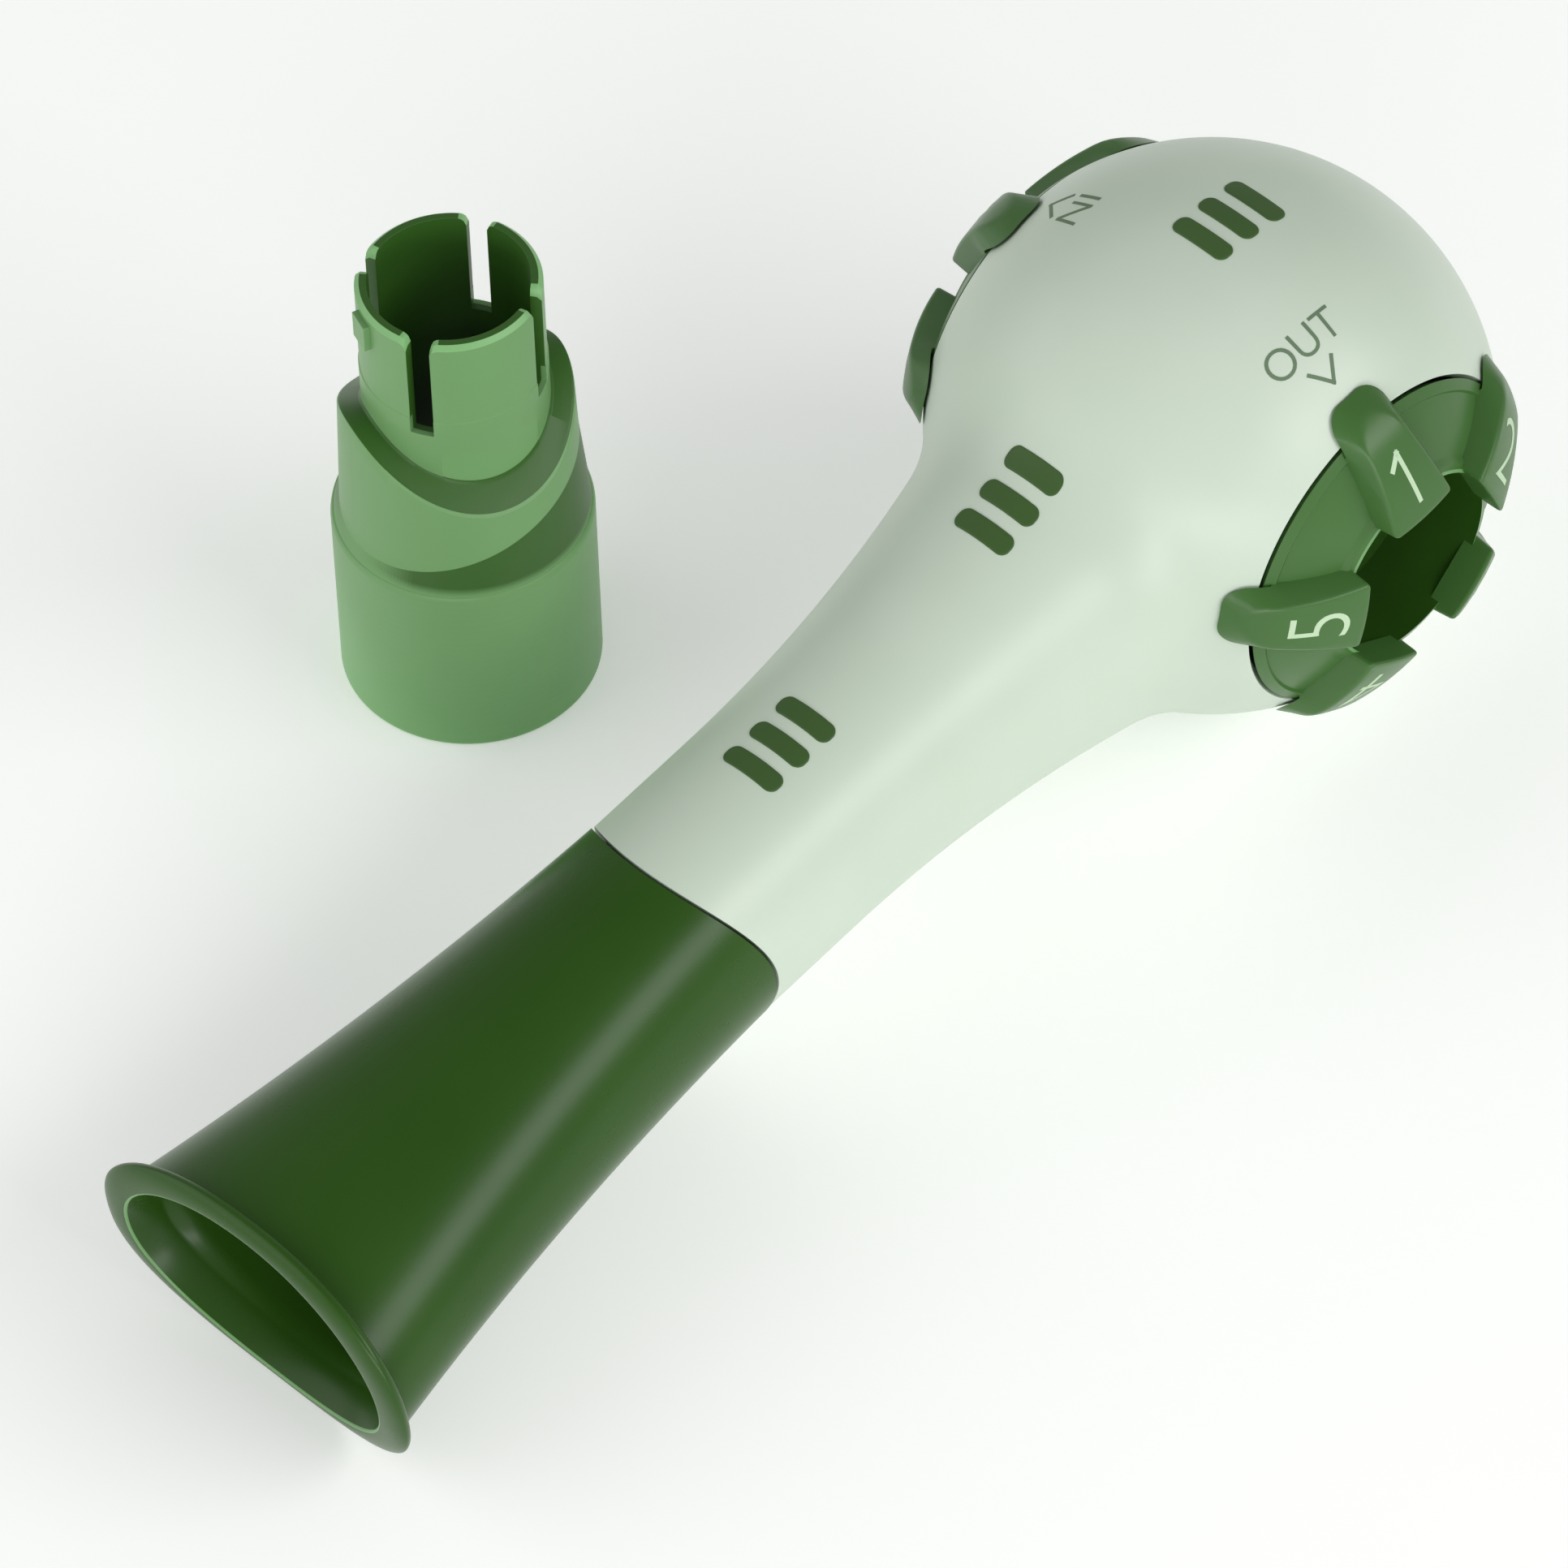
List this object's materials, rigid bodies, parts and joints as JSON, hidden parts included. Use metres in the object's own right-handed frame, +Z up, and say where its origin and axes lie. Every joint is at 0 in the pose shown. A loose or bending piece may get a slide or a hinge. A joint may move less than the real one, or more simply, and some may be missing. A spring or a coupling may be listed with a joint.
{
  "type": "breathing trainer",
  "caption": "Hand-held breathing trainer: round head with a graded dial each side, neck, flared mouthpiece, and a separate slotted adapter with a wide socket.",
  "frame": {"origin": "bottom centre of the bounding box of the trainer lying down and the adapter beside it", "axes": "+Y from the mouth end towards the round head, +X towards the breathing-out dial, +Z up"},
  "size_m": [0.087, 0.1512, 0.0527],
  "materials": {
    "shell": "satin",
    "mouthpiece": "gloss",
    "dial": "satin",
    "adapter": "gloss",
    "grip": "matt",
    "inner": "matt",
    "silicone": "soft",
    "gasket": "soft"
  },
  "bodies": {
    "trainer": {"front_shell": "shell", "rear_shell": "shell", "neck_sleeve": "inner", "exhale_port_plate": "inner", "inhale_port_plate": "inner", "exhale_valve_seat": "inner", "inhale_valve_seat": "inner", "exhale_dial_pin": "dial", "inhale_dial_pin": "dial", "exhale_dial_gasket": "gasket", "inhale_dial_gasket": "gasket", "grip_bars_lower": "grip", "grip_bars_middle": "grip", "grip_bars_upper": "grip"},
    "exhale_dial": {"exhale_dial": "dial"},
    "inhale_dial": {"inhale_dial": "dial"},
    "exhale_flap": {"exhale_valve_flap": "silicone"},
    "inhale_flap": {"inhale_valve_flap": "silicone"},
    "mouthpiece": {"mouthpiece": "mouthpiece"},
    "adapter": {"adapter": "adapter"}
  },
  "joints": [
    {"name": "exhale_dial_turn", "type": "hinge", "parent": "trainer", "child": "exhale_dial", "pos_m": [0.01649, 0.04928, 0.0263], "axis": [1, 0, 0], "continuous": true},
    {"name": "inhale_dial_turn", "type": "hinge", "parent": "trainer", "child": "inhale_dial", "pos_m": [0.01649, 0.04928, 0.0263], "axis": [1, 0, 0], "continuous": true},
    {"name": "exhale_valve_lift", "type": "slide", "parent": "trainer", "child": "exhale_flap", "axis": [1, 0, 0], "range_m": [0, 0.0015], "stiffness_N_per_m": 8},
    {"name": "inhale_valve_lift", "type": "slide", "parent": "trainer", "child": "inhale_flap", "axis": [1, 0, 0], "range_m": [0, 0.0015], "stiffness_N_per_m": 8},
    {"name": "mouthpiece_pull", "type": "slide", "parent": "trainer", "child": "mouthpiece", "axis": [0, -0.9934, -0.1151], "range_m": [0, 0.015]},
    {"name": "adapter_lift", "type": "slide", "parent": "trainer", "child": "adapter", "axis": [0, 0, 1], "range_m": [0, 0.06]}
  ]
}
